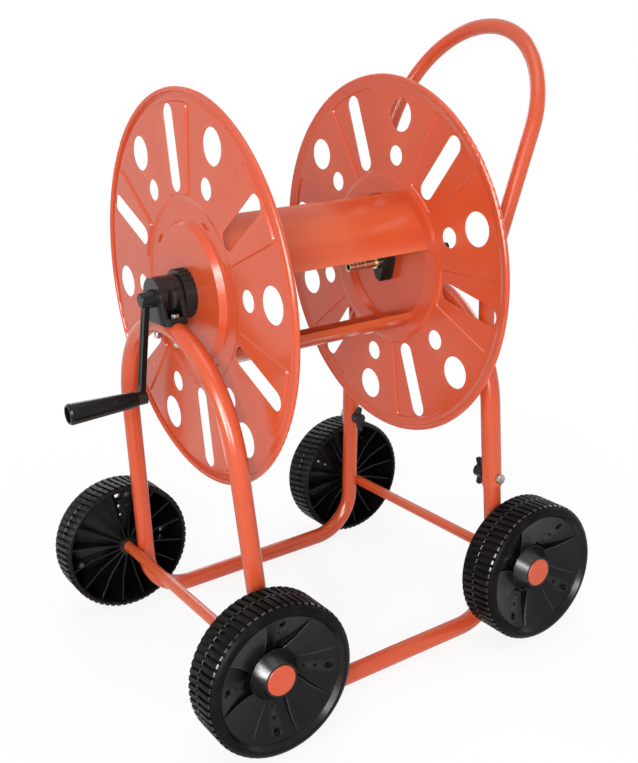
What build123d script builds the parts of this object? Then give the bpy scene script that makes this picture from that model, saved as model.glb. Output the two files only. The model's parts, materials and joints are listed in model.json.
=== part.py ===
from build123d import *
from math import cos, radians, sin, sqrt, tan
import os

os.makedirs("parts", exist_ok=True)

# A four-wheeled garden hose reel cart. X runs from the crank to the push handle, Z is up, sizes in mm.

# Fits and clearances
running_clearance = 0.05
seat_clearance = 0.1
side_play = 0.6
bolt_clearance = 0.2

# Wheels, axles and track
wheel_radius = 100.0
wheel_width = 60.0
track_width = 523.0
wheelbase = 427.0
axle_rod_radius = 6.0
axle_tube_radius = 8.0
axle_tube_wall = 1.7
axle_seat_depth = 1.0

# Lower frame tube: crank-end arch, rails and lower handle-end legs in one bend
frame_tube_radius = 12.5
frame_tube_wall = 1.5
rail_height = 17.0
rail_spread = 187.5
leg_bend_radius = 70.0
crank_leg_splay = 4.6
crank_leg_lean = 1.6
handle_leg_splay = 3.4
handle_leg_lean = 1.9
arch_flat = 4.0

# Handle-end arch, sleeved over the lower legs
sleeve_tube_radius = 14.0
sleeve_bottom = 213.0
leg_end_gap = 1.0
clamp_height = 227.0

# Push handle loop
handle_tube_radius = 11.0
handle_tube_wall = 1.5
handle_foot_angle = 20.0
handle_bend_height = 514.0
handle_bend_radius = 60.0
handle_lean = 23.3
handle_top = 846.0
handle_top_flat = 2.0

# Drum
drum_height = 529.0
crank_flange_gap = 41.0
inlet_flange_gap = 58.0
bearing_rise = 38.0
sheet = 1.0
flange_radius = 259.4
rim_bead_radius = 3.5
rim_bead_rise = 1.0
plateau_radius = 88.0
plateau_height = 8.0
plateau_slope = 6.0
field_inner_radius = 118.0
field_height = 2.0
field_slope = 6.0
rim_band = 9.0
sector_count = 6
sector_inner_radius = 124.0
sector_outer_radius = 243.0
sector_angle = 26.0
sector_rise = 2.5
sector_corner = 8.0
slot_inner_radius = 129.0
slot_outer_radius = 239.0
slot_width = 26.0
large_hole_radius = 23.0
large_hole_circle = 209.0
small_hole_radius = 14.0
small_hole_circle = 152.0
crank_flange_clock = -4.3
inlet_flange_clock = -17.0

# Slats
slat_count = 3
slat_radius = 104.0
slat_angle = 58.0
slat_clock = 48.0
slat_lip = 10.0
tab_width = 14.0
tab_offset_angle = 18.0
tab_reach = 2.5
tab_clearance = 0.3

# Spindle, collars, hub nut, outlet body
spindle_radius = 10.0
spindle_nose_radius = 6.0
collar_radius = 33.0
collar_rib_count = 24
collar_rib_height = 1.5
collar_rib_width = 3.5
collar_gap = 2.0
hub_nut_radius = 34.0
hub_nut_length = 19.0
hub_nut_sides = 8
outlet_radius = 18.0
outlet_toe_radius = 11.0
outlet_toe_drop = 23.0
outlet_chamfer = 3.0
pipe_seat = 9.0

# Bearing blocks
block_length = 32.0
block_radius = 27.0
block_foot_width = 72.0
block_foot_top = 16.0
block_foot_bottom = 6.0
gusset_thickness = 5.0
gusset_inset = 3.0
bearing_bolt_spread = 30.0
bearing_bolt_radius = 3.0
bearing_bolt_head_radius = 5.5
bearing_bolt_head_height = 4.0
bearing_nut_height = 5.0
bearing_bolt_end = 1.5

# Crank
crank_hub_radius = 12.0
crank_hub_end_radius = 9.5
crank_hub_length = 16.5
crank_hub_floor = 3.0
crank_length = 127.0
crank_offset = 20.0
arm_width = 11.5
arm_thickness = 7.0
arm_groove_width = 6.0
arm_groove_depth = 1.5
crank_boss_radius = 9.0
crank_boss_length = 13.0
crank_screw_radius = 2.5
crank_screw_sink = 0.8
crank_screw_bite = 1.2
crank_screw_socket_radius = 1.5
crank_screw_socket_depth = 2.0
grip_length = 92.0
grip_root_radius = 10.5
grip_end_radius = 14.0
grip_hollow_radius = 10.5
grip_hollow_depth = 30.0
grip_window_length = 26.0
grip_window_width = 7.0
grip_window_depth = 2.0
grip_pin_radius = 4.0
grip_pin_head_radius = 6.5
grip_pin_head_height = 3.0
grip_pin_seat = 9.0

# Water path
pipe_bore_radius = 6.0
hosetail_radius = 6.5
hosetail_bore_radius = 4.5
hosetail_length = 46.0
hosetail_collar_radius = 9.0
hosetail_collar_length = 6.0
hosetail_groove_depth = 0.5
hosetail_groove_count = 4
hosetail_groove_pitch = 7.0
hosetail_groove_width = 1.2
hosetail_drop = 5.0
hosetail_shank_radius = 7.5
hosetail_seat = 8.0
connector_flange_radius = 23.0
connector_flange_thickness = 6.0
connector_boss_radius = 13.0
connector_boss_length = 12.0
spigot_length = 28.0
seal_width = 3.4
seal_thickness = 3.5
connector_screw_count = 3
connector_screw_circle = 19.0
connector_screw_radius = 1.75
connector_screw_head_radius = 3.2
connector_screw_head_height = 2.0
connector_screw_length = 14.0

# Clamp bolts and wing nuts
clamp_bolt_radius = 4.0
clamp_head_radius = 7.5
clamp_head_height = 5.3
wing_hub_radius = 9.0
wing_hub_length = 15.0
wing_hub_floor = 3.0
wing_span = 41.0
wing_thickness = 5.0
wing_root_width = 12.0
wing_tip_width = 9.0
wing_flare = 7.0
wing_corner = 3.0

# Wheel section, measured along the axle from the inner face
tyre_shoulder = 9.5
tyre_inner_shoulder = 4.0
sidewall_round = 2.5
tread_groove_place = 25.0
tread_groove_width = 2.6
tread_groove_depth = 3.0
tyre_wall = 8.0
rim_ring_radius = 82.5
rim_lip = 4.5
rim_wall = 3.5
dish_hub_height = 36.0
dish_rim_height = 54.0
dish_wall = 3.5
wheel_hub_radius = 14.0
wheel_hub_inset = 2.0
hub_cone_base_radius = 33.0
hub_cone_top_radius = 22.0
hub_top = 52.0
cap_radius = 19.5
cap_seat_depth = 4.0
cap_rise = 0.7
retainer_pocket_radius = 13.0
retainer_pocket_depth = 6.0
retainer_radius = 11.0
retainer_thickness = 2.0
rod_end_reach = 1.5
wheel_rib_count = 16
wheel_rib_thickness = 2.4
wheel_rib_inset = 5.0
wheel_rib_hollow = 11.0
petal_count = 4
petal_hub_depth = 7.0
petal_rim_depth = 1.0
petal_margin = 1.0
petal_angle = 47.0
petal_sweep = 11.0
petal_hole_circles = (71.5, 55.5, 43.0)
petal_hole_radii = (4.6, 2.4, 1.8)
wheel_clocks = {"crank_near": -11.0, "crank_far": 0.0, "handle_near": 48.0, "handle_far": 30.0}

# Derived places
half_base = wheelbase / 2
axle_height = wheel_radius
wheel_inner_face = track_width / 2 - wheel_width
leg_place = half_base - (frame_tube_radius + axle_tube_radius - axle_seat_depth)
arch_height = drum_height - bearing_rise
sleeve_wall = sleeve_tube_radius - frame_tube_radius - seat_clearance


def crank_leg(height, side):
    """Tube centre of a crank-end leg at a height, on the side of -1 or 1."""
    out = -leg_place - (height - axle_height) * tan(radians(crank_leg_lean))
    across = rail_spread - (height - rail_height) * tan(radians(crank_leg_splay))
    return Vector(out, side * across, height)


def handle_leg(height, side):
    """Tube centre of a handle-end leg at a height, on the side of -1 or 1."""
    out = leg_place + (height - axle_height) * tan(radians(handle_leg_lean))
    across = rail_spread - (height - rail_height) * tan(radians(handle_leg_splay))
    return Vector(out, side * across, height)


def arch_radius(leg):
    """Bend radius that leaves a short straight at the top of an arch on these legs."""
    shoulder = leg(arch_height, 1)
    leg_way = (leg(rail_height, 1) - shoulder).normalized()
    half_angle = radians(leg_way.get_angle(Vector(0, -1, 0))) / 2
    return (shoulder.Y - arch_flat / 2) * tan(half_angle)


crank_arch_x = crank_leg(arch_height, 1).X
inlet_arch_x = handle_leg(arch_height, 1).X
crank_flange_x = crank_arch_x + crank_flange_gap
inlet_flange_x = inlet_arch_x - inlet_flange_gap
drum_width = inlet_flange_x - crank_flange_x
crank_arch_radius = arch_radius(crank_leg)
sleeve_arch_radius = arch_radius(handle_leg)
sleeve_arch_centre = arch_height - sleeve_arch_radius
handle_spread = sleeve_arch_radius * cos(radians(handle_foot_angle))
handle_foot = sleeve_arch_centre + sleeve_arch_radius * sin(radians(handle_foot_angle))
handle_foot_x = handle_leg(handle_foot, 1).X
handle_bend_x = handle_leg(handle_bend_height, 1).X
handle_reach = handle_bend_x + (handle_top - handle_bend_height) * tan(radians(handle_lean))
crank_block_end = crank_arch_x - block_length / 2
crank_hub_x = crank_block_end - side_play
crank_boss_x = crank_hub_x - crank_hub_length / 2 - crank_offset
grip_x = crank_boss_x - crank_boss_length / 2 - side_play
grip_height = drum_height - crank_length
inlet_block_end = inlet_arch_x + block_length / 2

# The cart stands over the middle of its own length
shift = -(grip_x - grip_length + handle_reach + handle_tube_radius) / 2


def save(name, *shapes):
    """Write one node, moved so that the cart is centred on the origin."""
    placed = [Pos(shift, 0, 0) * shape for shape in shapes]
    export_step(placed[0] if len(placed) == 1 else Compound(placed), f"parts/{name}.step")


def rod(radius, start, end, axis="X", at=(0, 0)):
    """Round bar along X, Y or Z between two places, at the two other coordinates."""
    length = end - start
    middle = (start + end) / 2
    bar = Cylinder(radius, abs(length))
    if axis == "X":
        return Pos(middle, *at) * Rot(0, 90, 0) * bar
    if axis == "Y":
        return Pos(at[0], middle, at[1]) * Rot(90, 0, 0) * bar
    return Pos(*at, middle) * bar


def on_drum_axis(radius, start, end):
    """Round bar on the drum's own axis."""
    return rod(radius, start, end, "X", (0, drum_height))


def bent_bar(points, radii, radius):
    """Round bar along straight runs joined by tangent arcs."""
    path = FilletPolyline(*points, radius=radii)
    section = Plane(origin=path @ 0, z_dir=path % 0) * Circle(radius)
    return sweep(section, path)


def bent_tube(points, radii, radius, wall):
    """Round tube with open ends along straight runs joined by tangent arcs."""
    return bent_bar(points, radii, radius) - bent_bar(points, radii, radius - wall)


def hexagon_bar(across_corners_radius, start, end, axis, at):
    """Six-sided bar along X, Y or Z, for bolt heads and nuts."""
    length = abs(end - start)
    bar = extrude(RegularPolygon(across_corners_radius, 6), length / 2, both=True)
    middle = (start + end) / 2
    if axis == "Y":
        return Pos(at[0], middle, at[1]) * Rot(90, 0, 0) * bar
    return Pos(*at, middle) * bar


# Lower frame: one tube from the far handle-end leg round both rails and the crank-end arch
leg_end = sleeve_arch_centre - leg_end_gap
frame_points = [
    handle_leg(leg_end, -1),
    handle_leg(rail_height, -1),
    crank_leg(rail_height, -1),
    crank_leg(arch_height, -1),
    crank_leg(arch_height, 1),
    crank_leg(rail_height, 1),
    handle_leg(rail_height, 1),
    handle_leg(leg_end, 1),
]
frame_bends = [leg_bend_radius, leg_bend_radius, crank_arch_radius]
frame_bends += frame_bends[::-1]
frame_solid = bent_bar(frame_points, frame_bends, frame_tube_radius)
lower_frame = frame_solid - bent_bar(frame_points, frame_bends, frame_tube_radius - frame_tube_wall)

# Handle-end arch: a wider tube that slides over the two lower legs
sleeve_points = [
    handle_leg(sleeve_bottom, -1),
    handle_leg(arch_height, -1),
    handle_leg(arch_height, 1),
    handle_leg(sleeve_bottom, 1),
]
sleeve_bends = [sleeve_arch_radius, sleeve_arch_radius]
sleeve_solid = bent_bar(sleeve_points, sleeve_bends, sleeve_tube_radius)
handle_arch = sleeve_solid - bent_bar(sleeve_points, sleeve_bends, sleeve_tube_radius - sleeve_wall)

# Push handle: a loop that leans away from the drum, its feet shaped to the shoulders of the arch
handle_points = [
    (handle_foot_x, -handle_spread, handle_foot),
    (handle_bend_x, -handle_spread, handle_bend_height),
    (handle_reach, -handle_spread, handle_top),
    (handle_reach, handle_spread, handle_top),
    (handle_bend_x, handle_spread, handle_bend_height),
    (handle_foot_x, handle_spread, handle_foot),
]
handle_top_radius = handle_spread - handle_top_flat / 2
handle_bends = [handle_bend_radius, handle_top_radius, handle_top_radius, handle_bend_radius]
push_handle = bent_tube(handle_points, handle_bends, handle_tube_radius, handle_tube_wall) - sleeve_solid

# Clamp bolts: one through each sleeved leg, head outside, black wing nut inside
leg_tilt = radians(handle_leg_splay)
clamp_seat = sleeve_tube_radius / cos(leg_tilt) + wing_hub_radius * tan(leg_tilt) + seat_clearance
clamp_bolts = []
wing_nuts = []
for side in (-1, 1):
    leg_spot = handle_leg(clamp_height, side)
    leg_y = leg_spot.Y
    at = (leg_spot.X, clamp_height)
    hole = rod(clamp_bolt_radius + bolt_clearance, leg_y - 30, leg_y + 30, "Y", at)
    lower_frame -= hole
    handle_arch -= hole
    head_start = leg_y + side * clamp_seat
    head_end = head_start + side * clamp_head_height
    nut_start = leg_y - side * (clamp_seat + running_clearance)
    nut_end = nut_start - side * wing_hub_length
    bore_end = nut_end + side * wing_hub_floor
    tip = bore_end + side * side_play
    head = hexagon_bar(clamp_head_radius, head_start, head_end, "Y", at)
    clamp_bolts.append(head + rod(clamp_bolt_radius, head_start, tip, "Y", at))
    hub = rod(wing_hub_radius, nut_start, nut_end, "Y", at)
    wing_outline = Polyline(
        (1, 0),
        (1, wing_hub_radius - 2),
        (1 + wing_flare, wing_span / 2),
        (1 + wing_flare + wing_tip_width, wing_span / 2),
        (1 + wing_root_width, wing_hub_radius - 2),
        (1 + wing_root_width, 0),
        close=True,
    )
    wing_face = make_face(wing_outline)
    wing_face = fillet(wing_face.vertices().group_by(Axis.Y)[-1], wing_corner)
    wing = extrude(wing_face, wing_thickness / 2, both=True)
    wing_plane = Plane(origin=(at[0], nut_start, at[1]), x_dir=(0, -side, 0), z_dir=(1, 0, 0))
    wings = wing_plane * (wing + mirror(wing, Plane.XZ))
    thread = rod(clamp_bolt_radius + running_clearance, nut_start, bore_end, "Y", at)
    wing_nuts.append(hub + wings - thread)

# Axles: a tube welded across the legs at each end, with a steel rod through it
tube_end = wheel_inner_face + wheel_hub_inset - side_play
rod_end = wheel_inner_face + hub_top - cap_seat_depth - rod_end_reach
axle_tubes = []
axle_rods = []
retainers = []
for end in (-1, 1):
    at = (end * half_base, axle_height)
    tube = rod(axle_tube_radius, -tube_end, tube_end, "Y", at)
    tube -= rod(axle_tube_radius - axle_tube_wall, -tube_end, tube_end, "Y", at)
    axle_tubes.append(tube - frame_solid)
    axle_rods.append(rod(axle_rod_radius, -rod_end, rod_end, "Y", at))
    for side in (-1, 1):
        pocket_floor = hub_top - cap_seat_depth - retainer_pocket_depth
        start = side * (wheel_inner_face + pocket_floor + side_play)
        stop = start + side * retainer_thickness
        ring = rod(retainer_radius, start, stop, "Y", at)
        retainers.append(ring - rod(axle_rod_radius + seat_clearance / 2, start, stop, "Y", at))


def dish(radius):
    """Height of a wheel's dished outer face at a radius."""
    slope = (dish_rim_height - dish_hub_height) / (rim_ring_radius - hub_cone_base_radius)
    return dish_hub_height + slope * (radius - hub_cone_base_radius)


def dish_underside(radius):
    """Height of the inner side of a wheel's dish at a radius."""
    return dish(radius) - petal_hub_depth - dish_wall


def petal_face():
    """Outline of one recessed petal, its rim end centred on X and its hub end turned on."""
    inner_radius = hub_cone_base_radius + petal_margin
    outer_radius = rim_ring_radius - petal_margin
    middle_radius = (inner_radius + outer_radius) / 2

    def point(radius, angle):
        return (radius * cos(radians(angle)), radius * sin(radians(angle)))

    def side(angle):
        return ThreePointArc(
            point(inner_radius, angle + petal_sweep),
            point(middle_radius, angle + petal_sweep / 12),
            point(outer_radius, angle),
        )

    lead = side(-petal_angle / 2)
    trail = side(petal_angle / 2)
    rim = ThreePointArc(lead @ 1, point(outer_radius, 0), trail @ 1)
    hub = ThreePointArc(lead @ 0, point(inner_radius, petal_sweep), trail @ 0)
    return make_face([lead, rim, trail, hub])


def wheel():
    """Moulded wheel on a Z axis, inner face at zero, with its petals, holes, tread groove and inner ribs."""
    bore_radius = axle_rod_radius + running_clearance
    cap_seat = hub_top - cap_seat_depth
    pocket_floor = cap_seat - retainer_pocket_depth
    ring_inner = rim_ring_radius + rim_lip
    ring_floor = wheel_width - rim_wall
    tyre_inner = wheel_radius - tyre_wall
    outline = Polyline(
        (ring_inner, wheel_width),
        (rim_ring_radius, dish_rim_height),
        (hub_cone_base_radius, dish_hub_height),
        (hub_cone_top_radius, hub_top),
        (cap_radius + seat_clearance, hub_top),
        (cap_radius + seat_clearance, cap_seat),
        (retainer_pocket_radius, cap_seat),
        (retainer_pocket_radius, pocket_floor),
        (bore_radius, pocket_floor),
        (bore_radius, wheel_hub_inset),
        (wheel_hub_radius, wheel_hub_inset),
        (wheel_hub_radius, dish_underside(wheel_hub_radius)),
        (ring_inner, dish_underside(ring_inner)),
        (ring_inner, ring_floor),
        (tyre_inner, ring_floor),
        (tyre_inner, 0),
        (wheel_radius - tyre_inner_shoulder, 0),
        (wheel_radius, tyre_inner_shoulder),
        (wheel_radius, wheel_width - tyre_shoulder),
    )
    sidewall = ThreePointArc(
        outline @ 1,
        (wheel_radius - 2 * sidewall_round, wheel_width - sidewall_round),
        outline @ 0,
    )
    body = revolve(Plane.XZ * make_face([outline, sidewall]), Axis.Z)
    groove = Cylinder(wheel_radius + 1, tread_groove_width)
    groove -= Cylinder(wheel_radius - tread_groove_depth, tread_groove_width)
    body -= Pos(0, 0, tread_groove_place) * groove

    rib_foot = wheel_hub_radius - 1
    rib_end = wheel_radius - tyre_wall / 2
    rib_rise = dish_wall / 2
    rib_outline = Polyline(
        (rib_foot, wheel_rib_inset),
        (rib_foot, dish_underside(rib_foot) + rib_rise),
        (ring_inner, dish_underside(ring_inner) + rib_rise),
        (rib_end, dish_underside(ring_inner) + rib_rise),
        (rib_end, wheel_rib_inset),
        ((rib_foot + rib_end) / 2, wheel_rib_hollow),
        close=True,
    )
    rib = extrude(Plane.XZ * make_face(rib_outline), wheel_rib_thickness / 2, both=True)
    rib_step = 360 / wheel_rib_count
    body += [Rot(0, 0, rib_step * (n + 0.5)) * rib for n in range(wheel_rib_count)]

    recess_outline = Polyline(
        (hub_cone_base_radius, dish(hub_cone_base_radius) - petal_hub_depth),
        (rim_ring_radius, dish(rim_ring_radius) - petal_rim_depth),
        (rim_ring_radius, wheel_width),
        (hub_cone_base_radius, wheel_width),
        close=True,
    )
    recess = revolve(Plane.XZ * make_face(recess_outline), Axis.Z)
    petal = extrude(petal_face(), wheel_width) & recess
    for n in range(petal_count):
        turn = Rot(0, 0, 360 / petal_count * n)
        body -= turn * petal
        for circle, radius in zip(petal_hole_circles, petal_hole_radii):
            hole = Pos(circle, 0, dish(circle)) * Cylinder(radius, 2 * (petal_hub_depth + dish_wall) + 2)
            body -= turn * Rot(0, 0, petal_sweep / 3) * hole
    return body


def cap():
    """Domed hub cap that sits in the wheel's hub, on the wheel's Z axis."""
    height = cap_seat_depth + cap_rise
    disc = Pos(0, 0, hub_top - cap_seat_depth + height / 2) * Cylinder(cap_radius, height)
    return chamfer(disc.edges().sort_by(Axis.Z)[-1], cap_rise)


wheel_shape = wheel()
cap_shape = cap()
wheel_places = {}
for end, end_name in ((-1, "crank"), (1, "handle")):
    for side, side_name in ((-1, "near"), (1, "far")):
        spot = Pos(end * half_base, side * wheel_inner_face, axle_height) * Rot(-90 * side, 0, 0)
        name = f"{end_name}_{side_name}"
        wheel_places[name] = spot * Rot(0, 0, wheel_clocks[name])


# Drum flanges
def flange(clock, hand):
    """Pressed flange on a Z axis, outer side up, with its pattern turned to a clock angle."""

    def at_angle(angle):
        return Rot(0, 0, -hand * angle)

    flat_radius = flange_radius - 2 * rim_bead_radius
    field_outer_radius = flange_radius - rim_band - field_slope
    below = -4 * (plateau_height + sector_rise)
    bore = spindle_radius + seat_clearance
    section = Polyline(
        (bore, below),
        (bore, plateau_height),
        (plateau_radius, plateau_height),
        (plateau_radius + plateau_slope, 0),
        (field_inner_radius, 0),
        (field_inner_radius + field_slope, field_height),
        (field_outer_radius, field_height),
        (field_outer_radius + field_slope, 0),
        (flat_radius + rim_bead_radius / 2, 0),
        (flat_radius + rim_bead_radius / 2, below),
        close=True,
    )
    form = revolve(Plane.XZ * make_face(section), Axis.Z)
    half = sector_angle / 2
    wedge = Polygon(
        (0, 0),
        (2 * flange_radius * sin(radians(half)), 2 * flange_radius * cos(radians(half))),
        (-2 * flange_radius * sin(radians(half)), 2 * flange_radius * cos(radians(half))),
        align=None,
    )
    sector = (Circle(sector_outer_radius) - Circle(sector_inner_radius)) & wedge
    sector = fillet(sector.vertices(), sector_corner)
    panel = extrude(sector, field_height + sector_rise, taper=35)
    form += [at_angle(clock + 360 / sector_count * n) * panel for n in range(sector_count)]
    pressed = form - Pos(0, 0, -sheet) * form
    bead_circle = Pos(flange_radius - rim_bead_radius, rim_bead_rise) * Circle(rim_bead_radius)
    pressed += revolve(Plane.XZ * bead_circle, Axis.Z)
    slot_length = slot_outer_radius - slot_inner_radius
    slot_middle = (slot_outer_radius + slot_inner_radius) / 2
    slot = Pos(0, slot_middle, 0) * extrude(SlotOverall(slot_length, slot_width, rotation=90), 20, both=True)
    large = Pos(0, large_hole_circle, 0) * Cylinder(large_hole_radius, 40)
    small = Pos(0, small_hole_circle, 0) * Cylinder(small_hole_radius, 40)
    tab_slit = Box(tab_width + 2 * tab_clearance, sheet + 2 * tab_clearance, 10 * sheet)
    tab_slit = Pos(0, slat_radius - sheet / 2, 0) * tab_slit
    step = 360 / sector_count
    cuts = []
    for n in range(sector_count):
        cuts.append(at_angle(clock + step * n) * slot)
        cuts.append(at_angle(clock + step * (n + 0.5)) * large)
        cuts.append(at_angle(clock + step * (n + 0.5)) * small)
    for n in range(slat_count):
        for turn in (-tab_offset_angle, tab_offset_angle):
            cuts.append(at_angle(slat_clock + 360 / slat_count * n + turn) * tab_slit)
    return pressed - cuts


crank_side = Plane(origin=(crank_flange_x, 0, drum_height), x_dir=(0, -1, 0), z_dir=(-1, 0, 0))
inlet_side = Plane(origin=(inlet_flange_x, 0, drum_height), x_dir=(0, 1, 0), z_dir=(1, 0, 0))
crank_flange = crank_side * flange(crank_flange_clock, 1)
inlet_flange = inlet_side * flange(inlet_flange_clock, -1)


# Slats: curved sheet with folded edges, held by tabs through slits in the flanges
def slat(clock):
    """One slat between the inner faces of the flanges, centred on a clock angle."""
    half = slat_angle / 2
    far = 2 * slat_radius
    wedge = Polygon(
        (0, 0),
        (far * sin(radians(half)), far * cos(radians(half))),
        (-far * sin(radians(half)), far * cos(radians(half))),
        align=None,
    )
    outline = (Circle(slat_radius) - Circle(slat_radius - sheet)) & wedge
    for hand in (-1, 1):
        lip_spot = Pos(hand * sheet / 2, slat_radius - slat_lip / 2 - sheet / 4)
        lip = lip_spot * Rectangle(sheet, slat_lip - sheet / 2)
        outline += Rot(0, 0, hand * half) * lip
    length = drum_width - 2 * sheet
    bar = extrude(Rot(0, 0, -clock) * outline, length)
    tab = Box(tab_width, sheet, length + 2 * (sheet + tab_reach))
    core = Box(4 * slat_radius, 4 * slat_radius, length)
    for turn in (-tab_offset_angle, tab_offset_angle):
        tongue = Rot(0, 0, -clock - turn) * Pos(0, slat_radius - sheet / 2, length / 2) * tab
        bar += tongue - Pos(0, 0, length / 2) * core
    inner = Plane(origin=(inlet_flange_x - sheet, 0, drum_height), x_dir=(0, -1, 0), z_dir=(-1, 0, 0))
    return inner * bar


slats = [slat(slat_clock + 360 / slat_count * n) for n in range(slat_count)]


# Hub parts on both flanges
def collar(start, end):
    """Ribbed collar on the drum axis from a flange's centre to just short of the bearing."""
    body = on_drum_axis(collar_radius - collar_rib_height, start, end)
    rib = Box(abs(end - start), 2 * collar_rib_height + 1, collar_rib_width)
    rib_spot = Pos((start + end) / 2, collar_radius - collar_rib_height - 0.5, 0)
    turns = [Rot(360 / collar_rib_count * n, 0, 0) for n in range(collar_rib_count)]
    body += [Pos(0, 0, drum_height) * turn * rib_spot * rib for turn in turns]
    body &= on_drum_axis(collar_radius, start, end)
    return body - on_drum_axis(spindle_radius + seat_clearance, start, end)


def hub_nut(plane):
    """Faceted, tapered nut that clamps a flange's centre from inside the drum."""
    body = extrude(RegularPolygon(hub_nut_radius, hub_nut_sides), hub_nut_length, taper=12)
    return plane * body - on_drum_axis(spindle_radius + seat_clearance, -wheelbase, wheelbase)


def outlet():
    """Drop-shaped body on a Z axis that seats on a flange's centre and joins the inlet pipe to the hosetail."""
    toe = Pos(0, -outlet_toe_drop) * Circle(outlet_toe_radius)
    outline = make_hull([*Circle(outlet_radius).edges(), *toe.edges()])
    body = extrude(outline, hub_nut_length)
    body = chamfer(body.edges().group_by(Axis.Z)[-1], outlet_chamfer)
    tail_floor = hub_nut_length - hosetail_seat
    pipe_socket = Circle(spindle_radius + seat_clearance)
    tail_socket = Pos(0, -hosetail_drop) * Circle(hosetail_shank_radius + seat_clearance)
    channel = Pos(0, -hosetail_drop) * Circle(hosetail_bore_radius)
    body -= extrude(pipe_socket, pipe_seat)
    body -= Pos(0, 0, tail_floor) * extrude(tail_socket, hosetail_seat)
    return body - extrude(channel, hub_nut_length)


crank_plateau = crank_flange_x - plateau_height
inlet_plateau = inlet_flange_x + plateau_height
crank_collar = collar(crank_plateau, crank_arch_x + block_length / 2 + collar_gap)
inlet_collar = collar(inlet_plateau, inlet_arch_x - block_length / 2 - collar_gap)
crank_nut_plane = Plane(origin=(crank_plateau + sheet, 0, drum_height), x_dir=(0, 1, 0), z_dir=(1, 0, 0))
inlet_nut_plane = Plane(origin=(inlet_plateau - sheet, 0, drum_height), x_dir=(0, -1, 0), z_dir=(-1, 0, 0))
crank_hub_nut = hub_nut(crank_nut_plane)
outlet_body = inlet_nut_plane * outlet()

# Crank spindle: turns in the crank bearing, with a thinner nose for the crank
spindle_start = crank_plateau + sheet + hub_nut_length
nose_start = crank_block_end - side_play / 2
nose_end = crank_hub_x - crank_hub_length + crank_hub_floor
hub_middle = crank_hub_x - crank_hub_length / 2
crank_spindle = on_drum_axis(spindle_radius, nose_start, spindle_start)
crank_spindle += on_drum_axis(spindle_nose_radius, nose_end, nose_start)
screw_foot = drum_height + spindle_nose_radius - crank_screw_bite
screw_bore_top = drum_height + 2 * crank_hub_radius
screw_bore = rod(crank_screw_radius + seat_clearance, screw_foot, screw_bore_top, "Z", (hub_middle, 0))
crank_spindle -= screw_bore

# Inlet pipe: turns in the inlet bearing and opens into the outlet body
pipe_start = inlet_plateau - sheet - pipe_seat
pipe_end = inlet_block_end - side_play
inlet_pipe = on_drum_axis(spindle_radius, pipe_start, pipe_end)
inlet_pipe -= on_drum_axis(pipe_bore_radius, pipe_start, pipe_end)


def ring_grooves(start, way, height):
    """Grooves round a hosetail at a height that grip a hose."""
    rings = []
    for n in range(hosetail_groove_count):
        place = start + way * hosetail_groove_pitch * (n + 0.6)
        ring = rod(hosetail_radius + 1, place, place + way * hosetail_groove_width, "X", (0, height))
        core_radius = hosetail_radius - hosetail_groove_depth
        rings.append(ring - rod(core_radius, place, place + way * hosetail_groove_width, "X", (0, height)))
    return rings


# Hosetail: shank in the outlet body, collar against it, grooved tail for the hose
tail_height = drum_height - hosetail_drop
outlet_front = inlet_plateau - sheet - hub_nut_length
tail_foot = outlet_front - hosetail_collar_length
tail_tip = tail_foot - hosetail_length
shank_end = outlet_front + hosetail_seat
hosetail = rod(hosetail_radius, tail_tip, tail_foot, "X", (0, tail_height))
hosetail += rod(hosetail_collar_radius, tail_foot, outlet_front, "X", (0, tail_height))
hosetail += rod(hosetail_shank_radius, outlet_front, shank_end, "X", (0, tail_height))
hosetail -= ring_grooves(tail_tip, 1, tail_height)
hosetail -= rod(hosetail_bore_radius, tail_tip, shank_end, "X", (0, tail_height))


# Bearing blocks: barrel on a saddle foot with gussets, bolted through the arch
def bearing_block(place, saddle_cut, seal):
    """Block whose barrel runs along X at the drum height, over an arch tube at one place along X."""
    barrel = on_drum_axis(block_radius, place - block_length / 2, place + block_length / 2)
    foot_bottom = arch_height + block_foot_bottom
    foot_top = arch_height + block_foot_top
    foot = Box(block_length, block_foot_width, foot_top - foot_bottom)
    foot = fillet(foot.edges().filter_by(Axis.Z), 6)
    foot = Pos(place, 0, (foot_bottom + foot_top) / 2) * foot
    neck = Pos(place, 0, (foot_bottom + drum_height) / 2)
    neck *= Box(block_length, 1.2 * block_radius, drum_height - foot_bottom)
    gusset_outline = Polyline(
        (-block_foot_width / 2 + gusset_inset, foot_top - 1),
        (block_foot_width / 2 - gusset_inset, foot_top - 1),
        (block_radius - 1, drum_height + 2),
        (-block_radius + 1, drum_height + 2),
        close=True,
    )
    gusset = extrude(Plane.YZ * make_face(gusset_outline), gusset_thickness / 2, both=True)
    body = barrel + foot + neck
    for hand in (-1, 1):
        body += Pos(place + hand * (block_length - gusset_thickness) / 2, 0, 0) * gusset
    body -= saddle_cut
    body -= on_drum_axis(spindle_radius + running_clearance, place - block_length, place + block_length)
    if seal:
        end = place + block_length / 2
        body -= on_drum_axis(spindle_radius + seal_width, end - seal_thickness, end)
    for hand in (-1, 1):
        spot = (place, hand * bearing_bolt_spread)
        body -= rod(bearing_bolt_radius + bolt_clearance, foot_bottom - 30, foot_top + 1, "Z", spot)
        body -= rod(bearing_bolt_head_radius + 1, foot_top, drum_height + block_radius, "Z", spot)
    return body


crank_cut = bent_bar(frame_points[2:6], frame_bends[2:4], frame_tube_radius + seat_clearance)
inlet_cut = bent_bar(sleeve_points, sleeve_bends, sleeve_tube_radius + seat_clearance)
crank_bearing = bearing_block(crank_arch_x, crank_cut, False)
inlet_bearing = bearing_block(inlet_arch_x, inlet_cut, True)

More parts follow.
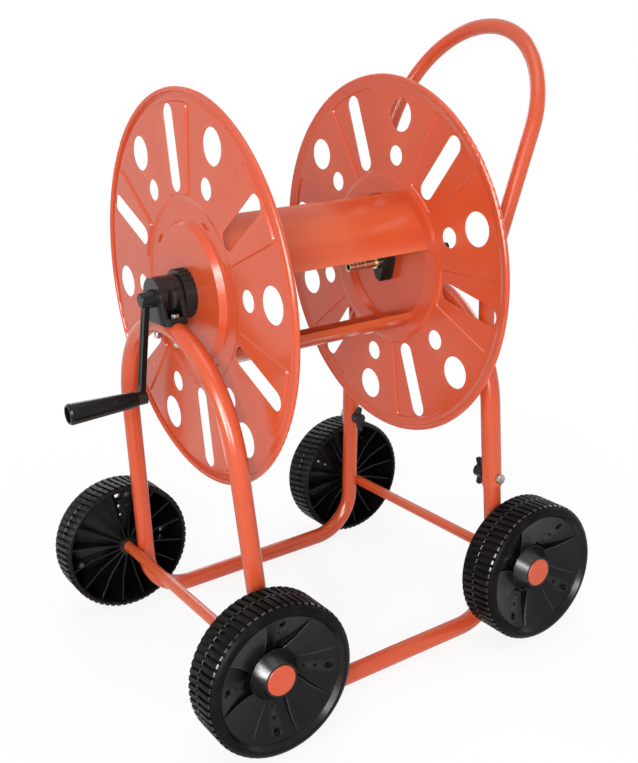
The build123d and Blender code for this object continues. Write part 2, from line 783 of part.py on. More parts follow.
bearing_bolts = []
bearing_nuts = []
for place, radius, tube_radius in (
    (crank_arch_x, crank_arch_radius, frame_tube_radius),
    (inlet_arch_x, sleeve_arch_radius, sleeve_tube_radius),
):
    for hand in (-1, 1):
        spot = (place, hand * bearing_bolt_spread)
        inner_radius = radius - tube_radius
        under = arch_height - radius + sqrt(inner_radius**2 - bearing_bolt_spread**2)
        foot_top = arch_height + block_foot_top
        nut_top = under - 1.0
        nut_bottom = nut_top - bearing_nut_height
        head = hexagon_bar(bearing_bolt_head_radius, foot_top, foot_top + bearing_bolt_head_height, "Z", spot)
        shank_end = nut_bottom - bearing_bolt_end
        bearing_bolts.append(head + rod(bearing_bolt_radius, shank_end, foot_top, "Z", spot))
        nut = hexagon_bar(bearing_bolt_head_radius, nut_bottom, nut_top, "Z", spot)
        bearing_nuts.append(nut - rod(bearing_bolt_radius + seat_clearance, nut_bottom, nut_top, "Z", spot))
        bolt_hole = rod(bearing_bolt_radius + bolt_clearance, nut_bottom, foot_top, "Z", spot)
        if tube_radius == sleeve_tube_radius:
            handle_arch -= bolt_hole
        else:
            lower_frame -= bolt_hole

# Fixed inlet connector with its seal and screws
connector_start = inlet_block_end
boss_start = connector_start + connector_flange_thickness
spigot_start = boss_start + connector_boss_length
spigot_end = spigot_start + spigot_length
inlet_connector = on_drum_axis(connector_flange_radius, connector_start, boss_start)
inlet_connector += on_drum_axis(connector_boss_radius, boss_start, spigot_start)
inlet_connector += on_drum_axis(hosetail_radius, spigot_start, spigot_end)
inlet_connector -= on_drum_axis(hosetail_bore_radius, connector_start, spigot_end)
inlet_connector -= ring_grooves(spigot_end, -1, drum_height)
seal_start = connector_start - seal_thickness
inlet_seal = on_drum_axis(spindle_radius + seal_width, seal_start, connector_start)
inlet_seal -= on_drum_axis(spindle_radius + running_clearance, seal_start, connector_start)
connector_screws = []
for n in range(connector_screw_count):
    angle = radians(90 + 360 / connector_screw_count * n)
    spot = (connector_screw_circle * cos(angle), drum_height + connector_screw_circle * sin(angle))
    head_end = boss_start + connector_screw_head_height
    screw = rod(connector_screw_head_radius, boss_start, head_end, "X", spot)
    screw_tip = boss_start - connector_screw_length
    screw += rod(connector_screw_radius, screw_tip, boss_start, "X", spot)
    connector_screws.append(screw)
    hole = rod(connector_screw_radius + seat_clearance, screw_tip, boss_start, "X", spot)
    inlet_connector -= hole
    inlet_bearing -= hole

# Crank arm: tapered hub on the spindle nose, grooved arm that leans outward, boss for the grip pin
hub_end = crank_hub_x - crank_hub_length
boss_inner = crank_boss_x + crank_boss_length / 2
boss_outer = crank_boss_x - crank_boss_length / 2
arm_outline = Polyline(
    (hub_middle + arm_thickness / 2, drum_height),
    (crank_boss_x + arm_thickness / 2, grip_height),
    (crank_boss_x - arm_thickness / 2, grip_height),
    (hub_middle - arm_thickness / 2, drum_height),
    close=True,
)
arm_bar = extrude(Plane.XZ * make_face(arm_outline), arm_width / 2, both=True)
arm_tilt = Vector(crank_boss_x - hub_middle, 0, grip_height - drum_height).get_angle(Vector(0, 0, -1))
groove_length = crank_length - crank_hub_radius - crank_boss_radius - 12
groove = Box(arm_groove_depth, arm_groove_width, groove_length)
groove_spot = Pos((hub_middle + crank_boss_x) / 2, 0, (drum_height + grip_height) / 2) * Rot(0, arm_tilt, 0)
for hand in (-1, 1):
    reach = arm_thickness * cos(radians(arm_tilt)) / 2
    arm_bar -= groove_spot * Pos(hand * reach, 0, 0) * groove
hub_plane = Plane(origin=(hub_middle, 0, drum_height), z_dir=(-1, 0, 0))
hub_cone = hub_plane * Cone(crank_hub_radius, crank_hub_end_radius, crank_hub_length)
crank_arm = arm_bar + fillet(hub_cone.edges().sort_by(Axis.X)[0], 1.5)
crank_arm += rod(crank_boss_radius, boss_outer, boss_inner, "X", (0, grip_height))
crank_arm -= on_drum_axis(spindle_nose_radius + seat_clearance, nose_end - seat_clearance, crank_hub_x)
crank_arm -= screw_bore
screw_top = drum_height + (crank_hub_radius + crank_hub_end_radius) / 2 - crank_screw_sink
crank_screw = rod(crank_screw_radius, screw_foot, screw_top, "Z", (hub_middle, 0))
crank_screw -= hexagon_bar(
    crank_screw_socket_radius, screw_top - crank_screw_socket_depth, screw_top, "Z", (hub_middle, 0)
)

# Grip: tapered hollow handle that turns on a headed pin
grip_end = grip_x - grip_length
hollow_floor = grip_end + grip_hollow_depth
grip_section = Polyline(
    (grip_x, grip_pin_radius + running_clearance),
    (grip_x, grip_root_radius - 1.5),
    (grip_x - 1.5, grip_root_radius),
    (grip_end + 3, grip_end_radius),
    (grip_end, grip_end_radius - 2),
    (grip_end, grip_hollow_radius),
    (hollow_floor, grip_hollow_radius - 1),
    (hollow_floor, grip_pin_radius + running_clearance),
    close=True,
)
crank_grip = revolve(Plane.XZ * make_face(grip_section), Axis.X)
window_middle = (grip_x + grip_end) / 2
mean_radius = (grip_root_radius + grip_end_radius) / 2
window_face = SlotOverall(grip_window_length, grip_window_width)
window = extrude(window_face, grip_window_depth, both=True)
for turn in (0, 180):
    crank_grip -= Rot(turn, 0, 0) * Pos(window_middle, 0, mean_radius) * window
crank_grip = Pos(0, 0, grip_height) * Rot(60, 0, 0) * crank_grip
pin_start = boss_outer + grip_pin_seat
pin_head = hollow_floor - side_play
grip_pin = rod(grip_pin_radius, pin_head, pin_start, "X", (0, grip_height))
grip_pin += rod(grip_pin_head_radius, pin_head - grip_pin_head_height, pin_head, "X", (0, grip_height))
crank_arm -= rod(grip_pin_radius + seat_clearance / 2, boss_outer - 1, pin_start, "X", (0, grip_height))

save("lower_frame", lower_frame)
save("handle_arch", handle_arch)
save("push_handle", push_handle)
save("crank_axle_tube", axle_tubes[0])
save("handle_axle_tube", axle_tubes[1])
save("crank_axle_rod", axle_rods[0])
save("handle_axle_rod", axle_rods[1])
save("axle_retainers", *retainers)
save("clamp_bolts", *clamp_bolts)
save("wing_nut_near", wing_nuts[0])
save("wing_nut_far", wing_nuts[1])
for name, spot in wheel_places.items():
    save(f"wheel_{name}", spot * wheel_shape)
    save(f"cap_{name}", spot * cap_shape)
save("crank_flange", crank_flange)
save("inlet_flange", inlet_flange)
for n, shape in enumerate(slats, 1):
    save(f"slat_{n}", shape)
save("crank_collar", crank_collar)
save("inlet_collar", inlet_collar)
save("crank_hub_nut", crank_hub_nut)
save("outlet_body", outlet_body)
save("crank_spindle", crank_spindle)
save("inlet_pipe", inlet_pipe)
save("hosetail", hosetail)
save("crank_bearing", crank_bearing)
save("inlet_bearing", inlet_bearing)
save("bearing_bolts", *bearing_bolts)
save("bearing_nuts", *bearing_nuts)
save("inlet_connector", inlet_connector)
save("inlet_seal", inlet_seal)
save("connector_screws", *connector_screws)
save("crank_arm", crank_arm)
save("crank_screw", crank_screw)
save("crank_grip", crank_grip)
save("grip_pin", grip_pin)
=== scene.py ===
import json
import math

import bmesh
import bpy
from mathutils import Matrix, Vector


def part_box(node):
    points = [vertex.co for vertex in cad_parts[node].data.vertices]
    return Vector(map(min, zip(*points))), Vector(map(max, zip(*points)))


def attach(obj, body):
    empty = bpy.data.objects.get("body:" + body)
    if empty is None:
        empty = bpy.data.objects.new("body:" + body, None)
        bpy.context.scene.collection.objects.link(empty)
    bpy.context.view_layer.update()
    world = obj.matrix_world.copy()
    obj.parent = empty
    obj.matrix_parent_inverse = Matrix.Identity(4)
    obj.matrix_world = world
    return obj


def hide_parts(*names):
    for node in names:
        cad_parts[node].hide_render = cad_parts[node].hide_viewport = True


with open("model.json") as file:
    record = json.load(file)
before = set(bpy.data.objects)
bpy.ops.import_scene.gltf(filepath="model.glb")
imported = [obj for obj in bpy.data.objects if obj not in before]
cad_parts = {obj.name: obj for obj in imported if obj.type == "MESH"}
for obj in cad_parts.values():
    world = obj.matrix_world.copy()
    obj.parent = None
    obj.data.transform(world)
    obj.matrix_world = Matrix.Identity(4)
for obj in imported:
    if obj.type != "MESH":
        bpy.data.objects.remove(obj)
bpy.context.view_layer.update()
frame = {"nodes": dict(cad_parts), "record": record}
nodes = frame["nodes"]
scene = bpy.context.scene

MM = 0.001
WHITE = (1, 1, 1, 1)
ENDS = ("crank", "handle")
SIDES = ("near", "far")


# Camera at the photograph's place: angles in degrees, pixels of a 638 x 763 image
IMAGE_LONG_SIDE = 763
IMAGE_CENTRE = (319.0, 381.5)
FOCAL_PIXELS = 1008.0
AXIS_PIXEL = (319.9, 368.0)
SENSOR_WIDTH = 36.0
CAMERA_FROM_MIDDLE = Vector((-0.7279, -1.1714, 0.7996))
CAMERA_YAW = -32.82
CAMERA_PITCH = 16.56
CAMERA_ROLL = -3.02


def box_centre(node):
    """Middle of a CAD node's box at rest."""
    low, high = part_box(node)
    return (low + high) / 2


def cart_middle():
    """Point on the floor halfway between the axles."""
    middle = (box_centre("crank_axle_rod") + box_centre("handle_axle_rod")) / 2
    return Vector((middle.x, 0, 0))


def add_camera():
    """Camera with the photograph's place, turn and lens."""
    yaw, pitch, roll = (math.radians(angle) for angle in (CAMERA_YAW, CAMERA_PITCH, CAMERA_ROLL))
    back = Vector((math.sin(yaw) * math.cos(pitch), -math.cos(yaw) * math.cos(pitch), math.sin(pitch)))
    level_right = Vector((math.cos(yaw), math.sin(yaw), 0))
    level_up = back.cross(level_right)
    right = math.cos(roll) * level_right + math.sin(roll) * level_up
    up = math.cos(roll) * level_up - math.sin(roll) * level_right
    lens = bpy.data.cameras.new("camera")
    lens.sensor_width = SENSOR_WIDTH
    lens.lens = FOCAL_PIXELS / IMAGE_LONG_SIDE * SENSOR_WIDTH
    lens.shift_x = (IMAGE_CENTRE[0] - AXIS_PIXEL[0]) / IMAGE_LONG_SIDE
    lens.shift_y = (AXIS_PIXEL[1] - IMAGE_CENTRE[1]) / IMAGE_LONG_SIDE
    camera = bpy.data.objects.new("camera", lens)
    turn = Matrix((right, up, back)).transposed().to_4x4()
    camera.matrix_world = Matrix.Translation(cart_middle() + CAMERA_FROM_MIDDLE) @ turn
    scene.collection.objects.link(camera)
    scene.camera = camera


# Stage: pale floor, white surroundings, soft lamps and two panels that only show as reflections
FLOOR_REACH = 6.0
FLOOR_WHITE = (0.94, 0.94, 0.94, 1)
FLOOR_GLOW_NEAR = 0.86
FLOOR_GLOW_FROM = 0.45
FLOOR_GLOW_TO = 1.6
AMBIENT = 0.47
LAMPS = {
    "key": {"place": (-2.1, -2.1, 1.7), "size": 1.3, "watts": 17.0},
    "front": {"place": (-1.9, -2.5, 1.1), "size": 1.1, "watts": 64.0},
    "top": {"place": (-0.3, -0.4, 3.0), "size": 2.0, "watts": 16.0},
    "back": {"place": (0.6, 3.0, 1.7), "size": 2.0, "watts": 27.0},
    "right": {"place": (3.0, 0.3, 1.5), "size": 1.8, "watts": 24.0},
    "panel": {"place": (-2.6, -0.9, 0.9), "size": 1.1, "watts": 80.0, "only_mirrored": True},
    "high_panel": {"place": (-2.3, -1.4, 1.7), "size": 0.9, "watts": 38.0, "only_mirrored": True},
}
LAMP_AIM = Vector((0, 0, 0.45))


def set_sockets(node, values):
    """Constant values on a shader node's sockets, by their names."""
    for name, value in values.items():
        node.inputs[name].default_value = value


def map_range(tree, source, given, wanted):
    """Node that maps a socket's value from a given range to a wanted one, held at the ends."""
    node = tree.nodes.new("ShaderNodeMapRange")
    limits = {"From Min": given[0], "From Max": given[1], "To Min": wanted[0], "To Max": wanted[1]}
    set_sockets(node, limits)
    tree.links.new(source, node.inputs["Value"])
    return node


def seen_directly(tree):
    """Socket that is 1 where a surface is seen, mirrored or seen through, and 0 for its light."""
    path = tree.nodes.new("ShaderNodeLightPath")
    seen = path.outputs["Is Camera Ray"]
    for ray in ("Is Glossy Ray", "Is Transmission Ray"):
        either = tree.nodes.new("ShaderNodeMath")
        either.operation = "MAXIMUM"
        tree.links.new(seen, either.inputs[0])
        tree.links.new(path.outputs[ray], either.inputs[1])
        seen = either.outputs[0]
    return seen


def link_mixed(tree, share, first, second, output):
    """Link a mix of two shaders, by the share of the second, to an output."""
    mix = tree.nodes.new("ShaderNodeMixShader")
    tree.links.new(share, mix.inputs["Fac"])
    tree.links.new(first.outputs[0], mix.inputs[1])
    tree.links.new(second.outputs[0], mix.inputs[2])
    tree.links.new(mix.outputs[0], output.inputs["Surface"])


def add_surroundings():
    """World that is white where it is seen and a plain level of light elsewhere."""
    world = bpy.data.worlds.new("surroundings")
    world.use_nodes = True
    scene.world = world
    tree = world.node_tree
    tree.nodes.clear()
    output = tree.nodes.new("ShaderNodeOutputWorld")
    light = tree.nodes.new("ShaderNodeBackground")
    set_sockets(light, {"Color": WHITE, "Strength": AMBIENT})
    white = tree.nodes.new("ShaderNodeBackground")
    set_sockets(white, {"Color": WHITE})
    link_mixed(tree, seen_directly(tree), light, white, output)


def floor_material():
    """Pale material that keeps a light shadow near the middle and turns white away from it."""
    material = bpy.data.materials.new("floor")
    material.use_nodes = True
    tree = material.node_tree
    tree.nodes.clear()
    output = tree.nodes.new("ShaderNodeOutputMaterial")
    diffuse = tree.nodes.new("ShaderNodeBsdfDiffuse")
    set_sockets(diffuse, {"Color": FLOOR_WHITE})
    glow = tree.nodes.new("ShaderNodeEmission")
    set_sockets(glow, {"Color": WHITE})
    place = tree.nodes.new("ShaderNodeTexCoord")
    distance = tree.nodes.new("ShaderNodeVectorMath")
    distance.operation = "LENGTH"
    tree.links.new(place.outputs["Object"], distance.inputs[0])
    reach = (FLOOR_GLOW_FROM, FLOOR_GLOW_TO)
    fade = map_range(tree, distance.outputs["Value"], reach, (FLOOR_GLOW_NEAR, 1.0))
    fade.interpolation_type = "SMOOTHSTEP"
    share = tree.nodes.new("ShaderNodeMath")
    share.operation = "MULTIPLY"
    tree.links.new(seen_directly(tree), share.inputs[0])
    tree.links.new(fade.outputs["Result"], share.inputs[1])
    link_mixed(tree, share.outputs[0], diffuse, glow, output)
    return material


def add_floor():
    """Large pale floor under the cart."""
    mesh = bpy.data.meshes.new("floor")
    reach = FLOOR_REACH
    corners = [(-reach, -reach, 0), (reach, -reach, 0), (reach, reach, 0), (-reach, reach, 0)]
    mesh.from_pydata(corners, [], [(0, 1, 2, 3)])
    mesh.materials.append(floor_material())
    floor = bpy.data.objects.new("floor", mesh)
    scene.collection.objects.link(floor)


def add_lamps():
    """Large soft lamps round the cart, aimed at its middle."""
    for name, lamp in LAMPS.items():
        data = bpy.data.lights.new(name, "AREA")
        data.shape = "DISK"
        data.size = lamp["size"]
        data.energy = lamp["watts"]
        light = bpy.data.objects.new(name, data)
        light.location = lamp["place"]
        light.rotation_euler = (LAMP_AIM - light.location).to_track_quat("-Z", "Y").to_euler()
        light.visible_diffuse = not lamp.get("only_mirrored", False)
        scene.collection.objects.link(light)


# Materials: linear colours. Noise values lie around 0.5, pointiness is 0.5 on flat places.
EDGE_ROUNDING = 0.7 * MM
PAINT_EDGE = (0.56, 0.70)
PLASTIC_EDGE = (0.54, 0.66)
MIX_FIRST_COLOUR = 6
MIX_SECOND_COLOUR = 7
MIX_RESULT_COLOUR = 2


class Surface:
    """Procedural material whose nodes are added step by step."""

    def __init__(self, name):
        self.material = bpy.data.materials.new(name)
        self.material.use_nodes = True
        self.tree = self.material.node_tree
        self.tree.nodes.clear()
        output = self.add("ShaderNodeOutputMaterial")
        self.shader = self.add("ShaderNodeBsdfPrincipled")
        self.place = self.add("ShaderNodeTexCoord").outputs["Object"]
        self.link(self.shader.outputs[0], output.inputs["Surface"])

    def add(self, kind):
        """New node of a kind."""
        return self.tree.nodes.new(kind)

    def link(self, source, target):
        """Link from an output socket to an input socket."""
        self.tree.links.new(source, target)

    def noise(self, scale, detail=3.0, rough=0.5):
        """Noise value in the object's own space; scale is in bumps per metre."""
        node = self.add("ShaderNodeTexNoise")
        set_sockets(node, {"Scale": scale, "Detail": detail, "Roughness": rough})
        self.link(self.place, node.inputs["Vector"])
        return node.outputs["Fac"]

    def spread(self, value, given, wanted=(0.0, 1.0)):
        """Value mapped from a given range to a wanted one, held at the ends."""
        return map_range(self.tree, value, given, wanted).outputs["Result"]

    def mix(self, share, first, second):
        """Colour between two colours or colour sockets."""
        node = self.add("ShaderNodeMix")
        node.data_type = "RGBA"
        self.link(share, node.inputs["Factor"])
        for index, colour in ((MIX_FIRST_COLOUR, first), (MIX_SECOND_COLOUR, second)):
            if isinstance(colour, tuple):
                node.inputs[index].default_value = (*colour, 1)
            else:
                self.link(colour, node.inputs[index])
        return node.outputs[MIX_RESULT_COLOUR]

    def edges(self, given):
        """Share of 1 on raised edges and 0 on flat and hollow places."""
        return self.spread(self.add("ShaderNodeNewGeometry").outputs["Pointiness"], given)

    def bump(self, value, depth, strength=0.5):
        """Relief of a depth in metres, over edges that are slightly round."""
        rounded = self.add("ShaderNodeBevel")
        set_sockets(rounded, {"Radius": EDGE_ROUNDING})
        node = self.add("ShaderNodeBump")
        set_sockets(node, {"Distance": depth, "Strength": strength})
        self.link(value, node.inputs["Height"])
        self.link(rounded.outputs["Normal"], node.inputs["Normal"])
        return node.outputs["Normal"]

    def set(self, **values):
        """Constant values on the shader's own sockets."""
        set_sockets(self.shader, {name.replace("_", " "): value for name, value in values.items()})

    def finish(self, colour, roughness, normal):
        """Link what varies over the surface."""
        self.link(colour, self.shader.inputs["Base Color"])
        self.link(roughness, self.shader.inputs["Roughness"])
        self.link(normal, self.shader.inputs["Normal"])
        return self.material


def red_paint():
    """Glossy orange-red powder coat with orange peel, faint scuffs and thinner colour on sharp edges."""
    made = Surface("red_paint")
    tone = made.spread(made.noise(7.0, detail=4.0), (0.3, 0.7))
    colour = made.mix(tone, (0.530, 0.070, 0.021), (0.570, 0.078, 0.025))
    colour = made.mix(made.edges(PAINT_EDGE), colour, (0.62, 0.12, 0.04))
    scuffs = made.spread(made.noise(24.0, detail=5.0, rough=0.6), (0.50, 0.75))
    roughness = made.spread(scuffs, (0.0, 1.0), (0.21, 0.30))
    peel = made.bump(made.noise(240.0, detail=2.0), 0.03 * MM, strength=0.6)
    made.set(Specular_IOR_Level=0.45)
    return made.finish(colour, roughness, peel)


def black_plastic():
    """Semi-gloss black moulded plastic with a fine grain, faint flow marks and rubbed edges."""
    made = Surface("black_plastic")
    flow = made.spread(made.noise(16.0, detail=4.0), (0.35, 0.7))
    colour = made.mix(flow, (0.0035, 0.0032, 0.0032), (0.0075, 0.0070, 0.0068))
    colour = made.mix(made.edges(PLASTIC_EDGE), colour, (0.024, 0.022, 0.021))
    roughness = made.spread(made.noise(60.0, detail=5.0, rough=0.6), (0.3, 0.75), (0.18, 0.30))
    grain = made.bump(made.noise(900.0), 0.02 * MM)
    made.set(IOR=1.3, Specular_IOR_Level=0.5)
    return made.finish(colour, roughness, grain)


def dish_plastic():
    """Glossy black of the wheels' moulded dishes, with faint flow marks and rubbed edges."""
    made = Surface("dish_plastic")
    flow = made.spread(made.noise(16.0, detail=4.0), (0.35, 0.7))
    colour = made.mix(flow, (0.0028, 0.0023, 0.0027), (0.0060, 0.0050, 0.0058))
    colour = made.mix(made.edges(PLASTIC_EDGE), colour, (0.026, 0.023, 0.024))
    roughness = made.spread(made.noise(60.0, detail=5.0, rough=0.6), (0.3, 0.75), (0.18, 0.32))
    grain = made.bump(made.noise(600.0), 0.02 * MM)
    made.set(IOR=1.3, Specular_IOR_Level=0.45)
    return made.finish(colour, roughness, grain)


def tyre_plastic():
    """Dull, slightly dusty black of the wheels' tyres."""
    made = Surface("tyre_plastic")
    dust = made.spread(made.noise(45.0, detail=6.0, rough=0.65), (0.45, 0.75))
    colour = made.mix(dust, (0.0036, 0.0029, 0.0027), (0.0090, 0.0076, 0.0070))
    colour = made.mix(made.edges(PLASTIC_EDGE), colour, (0.030, 0.026, 0.024))
    roughness = made.spread(made.noise(60.0, detail=5.0, rough=0.6), (0.3, 0.75), (0.34, 0.48))
    grain = made.bump(made.noise(700.0), 0.06 * MM)
    made.set(IOR=1.2, Specular_IOR_Level=0.3)
    return made.finish(colour, roughness, grain)


def shiny_plastic():
    """Shiny black of the hub cones, the petals' edges and the tread's rubbed edges."""
    made = Surface("shiny_plastic")
    tone = made.spread(made.noise(120.0, detail=4.0), (0.35, 0.7))
    colour = made.mix(tone, (0.0030, 0.0026, 0.0029), (0.0070, 0.0060, 0.0066))
    roughness = made.spread(made.noise(160.0, detail=4.0), (0.3, 0.7), (0.19, 0.29))
    grain = made.bump(made.noise(700.0, detail=2.0), 0.01 * MM, strength=0.4)
    made.set(Specular_IOR_Level=0.6)
    return made.finish(colour, roughness, grain)


def cap_plastic():
    """Orange-red gloss plastic of the hub caps."""
    made = Surface("cap_plastic")
    tone = made.spread(made.noise(60.0), (0.3, 0.7))
    colour = made.mix(tone, (0.50, 0.060, 0.016), (0.55, 0.070, 0.020))
    roughness = made.spread(made.noise(140.0, detail=4.0), (0.3, 0.7), (0.30, 0.42))
    grain = made.bump(made.noise(500.0, detail=2.0), 0.02 * MM)
    return made.finish(colour, roughness, grain)


def plated_metal(name, bright, dull, roughness_range):
    """Plated metal with a fine grain and dull spots."""
    made = Surface(name)
    spots = made.spread(made.noise(110.0, detail=5.0, rough=0.6), (0.42, 0.7))
    colour = made.mix(spots, bright, dull)
    roughness = made.spread(spots, (0.0, 1.0), roughness_range)
    grain = made.bump(made.noise(700.0, detail=2.0), 0.02 * MM)
    made.set(Metallic=1.0)
    return made.finish(colour, roughness, grain)


def seal_rubber():
    """Dull black rubber."""
    made = Surface("seal_rubber")
    tone = made.spread(made.noise(90.0, detail=4.0), (0.3, 0.7))
    colour = made.mix(tone, (0.016, 0.016, 0.016), (0.03, 0.03, 0.03))
    roughness = made.spread(made.noise(200.0), (0.3, 0.7), (0.6, 0.8))
    grain = made.bump(made.noise(1000.0, detail=2.0), 0.04 * MM)
    return made.finish(colour, roughness, grain)


def make_materials():
    """One material for each of the record's slots."""
    return {
        "red_paint": red_paint(),
        "wheel_plastic": dish_plastic(),
        "cap_plastic": cap_plastic(),
        "black_plastic": black_plastic(),
        "zinc_steel": plated_metal("zinc_steel", (0.56, 0.54, 0.50), (0.34, 0.31, 0.27), (0.22, 0.40)),
        "nickel_brass": plated_metal("nickel_brass", (0.84, 0.72, 0.50), (0.62, 0.48, 0.28), (0.26, 0.40)),
        "seal_rubber": seal_rubber(),
    }


def dress_nodes(materials):
    """Give every CAD node the material of its slot."""
    for part in frame["record"]["subparts"]:
        mesh = nodes[part["node"]].data
        mesh.materials.clear()
        mesh.materials.append(materials[part["material_slot"]])


# Wheels. Places along the axle are measured outward from the wheel's inner face, angles are in degrees.
# The tread has two rows of bars parted by slanted gaps, and a row of short ridges between the rows.
DISH_SLOT, TYRE_SLOT, SHINY_SLOT = range(3)
TYRE_INNER_RADIUS = 87.0 * MM
TREAD_GAPS = 62
TREAD_GAP_WIDTH = 4.2 * MM
TREAD_GAP_DEPTH = 3.0 * MM
TREAD_ROWS = (
    {"start": -2.0 * MM, "end": 23.7 * MM, "slant": 11.0, "stagger": 0.0},
    {"start": 26.3 * MM, "end": 55.5 * MM, "slant": 6.0, "stagger": 0.5},
)
RIB_PLACE = 25.0 * MM
RIB_WIDTH = 2.0 * MM
RIB_CHAMFER = 0.5 * MM
RIB_SHARE = 0.62
RIB_STEPS = 3
SHINY_SHOULDER = (52.0 * MM, 53.8 * MM)
MERGE_DISTANCE = 0.005 * MM
SHARP_ANGLE = 32.0

# Petals of the dish: each side is a shallow arc through three places, given as radius and turn
WHEEL_CLOCKS = {"crank_near": -11.0, "crank_far": 0.0, "handle_near": 48.0, "handle_far": 30.0}
PETAL_COUNT = 4
PETAL_ANGLE = 47.0
PETAL_SIDE = ((34.0 * MM, 11.0), (57.75 * MM, 0.9), (81.5 * MM, 0.0))
DISH_HUB_RADIUS = 33.0 * MM
DISH_HUB_HEIGHT = 36.0 * MM
HUB_CONE_HEIGHT = 51.9 * MM
DISH_RIM_RADIUS = 82.5 * MM
DISH_RIM_HEIGHT = 54.0 * MM
PETAL_EDGE_RADIUS = 0.9 * MM
PETAL_EDGE_SINK = 0.4 * MM
PETAL_EDGE_TAPER = 0.7
PETAL_EDGE_TAPER_POWER = 3
PETAL_EDGE_STEPS = 14
PETAL_EDGE_SIDES = 8


class WheelPlace:
    """Place, size and outer side of one CAD wheel; its copy is built round the Y axis at the origin."""

    def __init__(self, end, side):
        self.node = f"wheel_{end}_{side}"
        self.body = f"{end}_{side}_wheel"
        self.clock = WHEEL_CLOCKS[f"{end}_{side}"]
        low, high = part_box(self.node)
        self.centre = (low + high) / 2
        self.radius = (high.z - low.z) / 2
        self.outward = 1 if self.centre.y > 0 else -1
        self.inner_face = -self.outward * (high.y - low.y) / 2

    def along(self, distance):
        """Y value at a distance outward from the inner face."""
        return self.inner_face + self.outward * distance

    def slot_at(self, point):
        """Material slot of the wheel's surface at a point."""
        from_axis = math.hypot(point.x, point.z)
        distance = self.outward * (point.y - self.inner_face)
        on_hub_cone = from_axis < DISH_HUB_RADIUS and DISH_HUB_HEIGHT < distance < HUB_CONE_HEIGHT
        on_tread = from_axis > self.radius - TREAD_GAP_DEPTH
        on_shoulder = on_tread and SHINY_SHOULDER[0] < distance < SHINY_SHOULDER[1]
        if on_hub_cone or on_shoulder:
            return SHINY_SLOT
        return DISH_SLOT if from_axis < TYRE_INNER_RADIUS else TYRE_SLOT


def tread_cutter(wheel):
    """Mesh of all the gaps of one wheel's tread."""
    shape = bmesh.new()
    height = 2 * TREAD_GAP_DEPTH
    for row in TREAD_ROWS:
        middle = wheel.along((row["start"] + row["end"]) / 2)
        lift = Matrix.Translation((0, middle, wheel.radius))
        slant = Matrix.Rotation(math.radians(row["slant"]), 4, "Z")
        size = Matrix.Diagonal((TREAD_GAP_WIDTH, row["end"] - row["start"], height, 1))
        for n in range(TREAD_GAPS):
            turn = Matrix.Rotation(2 * math.pi * (n + row["stagger"]) / TREAD_GAPS, 4, "Y")
            bmesh.ops.create_cube(shape, size=1.0, matrix=turn @ lift @ slant @ size)
    mesh = bpy.data.meshes.new("tread_gaps")
    shape.to_mesh(mesh)
    shape.free()
    return mesh


def add_bar(shape, rings):
    """Closed shiny bar through rings of points of equal count."""
    rings = [[shape.verts.new(point) for point in ring] for ring in rings]
    faces = [shape.faces.new(rings[0]), shape.faces.new(rings[-1][::-1])]
    for ring, following in zip(rings, rings[1:]):
        for near in range(len(ring)):
            far = (near + 1) % len(ring)
            faces.append(shape.faces.new((ring[near], following[near], following[far], ring[far])))
    for face in faces:
        face.material_index = SHINY_SLOT


def add_rib(shape, wheel):
    """Row of short ridges that stand between the two rows of bars."""
    place = wheel.along(RIB_PLACE)
    half = RIB_WIDTH / 2
    crown = half - RIB_CHAMFER
    foot = wheel.radius - TREAD_GAP_DEPTH
    shoulder = wheel.radius - RIB_CHAMFER
    top = wheel.radius
    profile = (
        (-half, foot),
        (-half, shoulder),
        (-crown, top),
        (crown, top),
        (half, shoulder),
        (half, foot),
    )
    for n in range(TREAD_GAPS):
        rings = []
        for step in range(RIB_STEPS + 1):
            turn = 2 * math.pi * (n + RIB_SHARE * step / RIB_STEPS) / TREAD_GAPS
            spin = Matrix.Rotation(turn, 4, "Y")
            rings.append([spin @ Vector((0, place + across, height)) for across, height in profile])
        add_bar(shape, rings)


def petal_edge(wheel, angle):
    """Points along one side of a petal from hub to rim, just under the surface of the dish."""
    places = []
    for radius, turn in PETAL_SIDE:
        way = math.radians(angle + turn)
        places.append(radius * Vector((math.cos(way), math.sin(way))))
    hub, middle, rim = places
    bow = middle - (hub + rim) / 2
    slope = (DISH_RIM_HEIGHT - DISH_HUB_HEIGHT) / (DISH_RIM_RADIUS - DISH_HUB_RADIUS)
    points = []
    for step in range(PETAL_EDGE_STEPS + 1):
        share = step / PETAL_EDGE_STEPS
        flat = hub.lerp(rim, share) + 4 * share * (1 - share) * bow
        height = DISH_HUB_HEIGHT + slope * (flat.length - DISH_HUB_RADIUS) - PETAL_EDGE_SINK
        points.append(Vector((flat.x, wheel.along(height), -wheel.outward * flat.y)))
    return points


def edge_ring(wheel, points, step):
    """Ring round one of the points along a petal's side, smaller towards both ends."""
    before = points[max(step - 1, 0)]
    after = points[min(step + 1, PETAL_EDGE_STEPS)]
    across = (after - before).cross(Vector((0, wheel.outward, 0))).normalized()
    rise = across.cross(after - before).normalized()
    from_middle = abs(2 * step / PETAL_EDGE_STEPS - 1)
    radius = PETAL_EDGE_RADIUS * (1 - PETAL_EDGE_TAPER * from_middle ** PETAL_EDGE_TAPER_POWER)
    ring = []
    for corner in range(PETAL_EDGE_SIDES):
        turn = 2 * math.pi * corner / PETAL_EDGE_SIDES
        ring.append(points[step] + radius * (math.cos(turn) * across + math.sin(turn) * rise))
    return ring


def add_petal_edges(shape, wheel):
    """Rounded edges along both sides of every petal."""
    for n in range(PETAL_COUNT):
        for hand in (-1, 1):
            angle = wheel.clock + 360 / PETAL_COUNT * n + hand * PETAL_ANGLE / 2
            points = petal_edge(wheel, angle)
            add_bar(shape, [edge_ring(wheel, points, step) for step in range(len(points))])


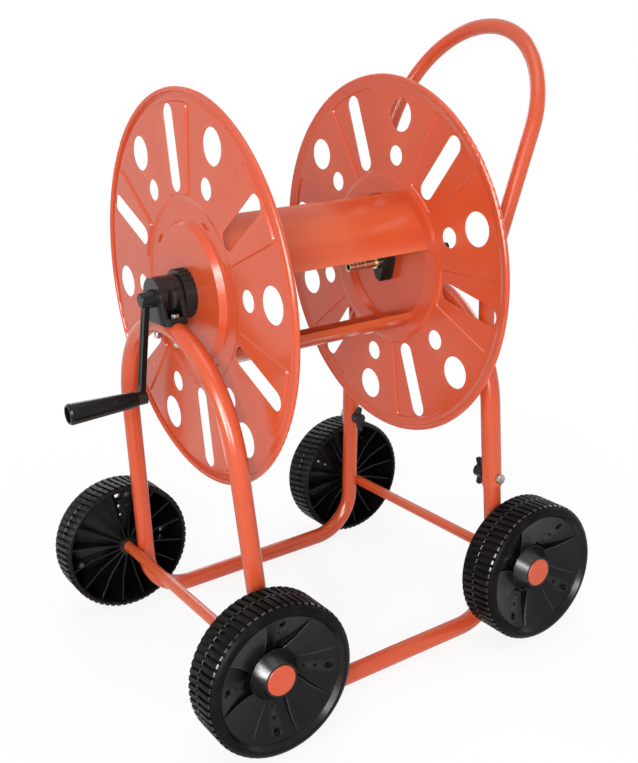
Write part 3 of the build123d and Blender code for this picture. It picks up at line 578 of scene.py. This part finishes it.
def centred_copy(wheel):
    """Object with a copy of a CAD wheel's mesh, centred at its own origin."""
    name = f"treaded_{wheel.node}"
    shape = bmesh.new()
    shape.from_mesh(nodes[wheel.node].data)
    bmesh.ops.remove_doubles(shape, verts=shape.verts, dist=MERGE_DISTANCE)
    bmesh.ops.translate(shape, verts=shape.verts, vec=-wheel.centre)
    mesh = bpy.data.meshes.new(name)
    shape.to_mesh(mesh)
    shape.free()
    piece = bpy.data.objects.new(name, mesh)
    scene.collection.objects.link(piece)
    return piece


def cut_tread(piece, wheel):
    """Cut the gaps of the tread into a wheel's copy."""
    cutter = bpy.data.objects.new("tread_gaps", tread_cutter(wheel))
    scene.collection.objects.link(cutter)
    cut = piece.modifiers.new("tread", "BOOLEAN")
    cut.operation = "DIFFERENCE"
    cut.solver = "EXACT"
    cut.object = cutter
    depsgraph = bpy.context.evaluated_depsgraph_get()
    cut_mesh = bpy.data.meshes.new_from_object(piece.evaluated_get(depsgraph))
    piece.modifiers.clear()
    piece.data = cut_mesh
    bpy.data.objects.remove(cutter)


def finish_mesh(mesh, wheel, materials):
    """Give a cut wheel its materials, its rib, the edges of its petals and fresh smooth shading."""
    mesh.materials.clear()
    for material in materials:
        mesh.materials.append(material)
    shape = bmesh.new()
    shape.from_mesh(mesh)
    for face in shape.faces:
        face.material_index = wheel.slot_at(face.calc_center_median())
    add_rib(shape, wheel)
    add_petal_edges(shape, wheel)
    bmesh.ops.recalc_face_normals(shape, faces=shape.faces)
    shape.to_mesh(mesh)
    shape.free()
    mesh.attributes.remove(mesh.attributes["custom_normal"])
    mesh.shade_smooth()
    mesh.set_sharp_from_angle(angle=math.radians(SHARP_ANGLE))


def add_treaded_wheel(wheel, materials):
    """Treaded copy of a CAD wheel that stands for it."""
    piece = centred_copy(wheel)
    cut_tread(piece, wheel)
    finish_mesh(piece.data, wheel, materials)
    piece.location = wheel.centre
    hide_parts(wheel.node)
    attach(piece, wheel.body)


slot_materials = make_materials()
wheel_materials = (slot_materials["wheel_plastic"], tyre_plastic(), shiny_plastic())
add_camera()
add_surroundings()
add_floor()
add_lamps()
dress_nodes(slot_materials)
for end in ENDS:
    for side in SIDES:
        add_treaded_wheel(WheelPlace(end, side), wheel_materials)

scene.view_settings.view_transform = "Standard"
